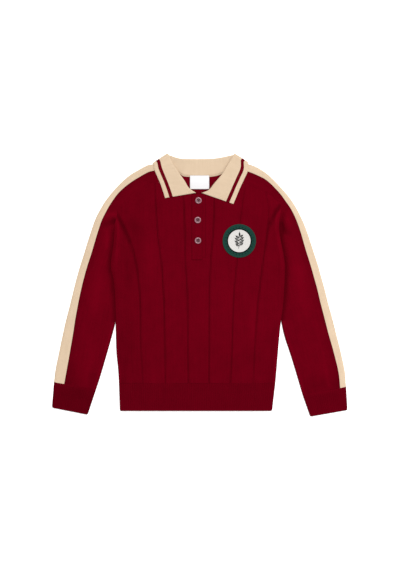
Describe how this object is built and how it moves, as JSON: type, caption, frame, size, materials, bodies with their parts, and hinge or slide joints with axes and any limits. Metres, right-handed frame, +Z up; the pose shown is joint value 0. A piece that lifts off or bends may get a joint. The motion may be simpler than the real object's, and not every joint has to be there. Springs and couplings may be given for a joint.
{
  "type": "knitted polo sweater, laid flat",
  "caption": "Long-sleeved knitted polo sweater laid flat, with a folded collar, a buttoned placket, sleeve stripes, ribbed hem and cuffs.",
  "frame": {"origin": "on the surface it lies on, below the middle of its outline", "axes": "+X to the wearer's left sleeve, +Y to the collar, +Z up, out of the garment's front"},
  "size_m": [0.6197, 0.5516, 0.0142],
  "materials": {
    "burgundy_knit": "matte knit",
    "cream_knit": "matte knit",
    "patch_cloth": "embroidered",
    "label_tape": "smooth tape",
    "button_resin": "satin"
  },
  "bodies": {
    "root": {"back_panel": "burgundy_knit", "front_panel": "burgundy_knit", "hem_back": "burgundy_knit", "hem_front": "burgundy_knit", "sleeve_right": "burgundy_knit", "sleeve_left": "burgundy_knit", "stripe_right": "cream_knit", "stripe_left": "cream_knit", "cuff_right": "burgundy_knit", "cuff_left": "burgundy_knit", "collar": "cream_knit", "placket_under": "burgundy_knit", "placket_upper": "burgundy_knit", "button_1": "button_resin", "button_2": "button_resin", "button_3": "button_resin", "patch": "patch_cloth", "neck_label": "label_tape"}
  },
  "joints": []
}
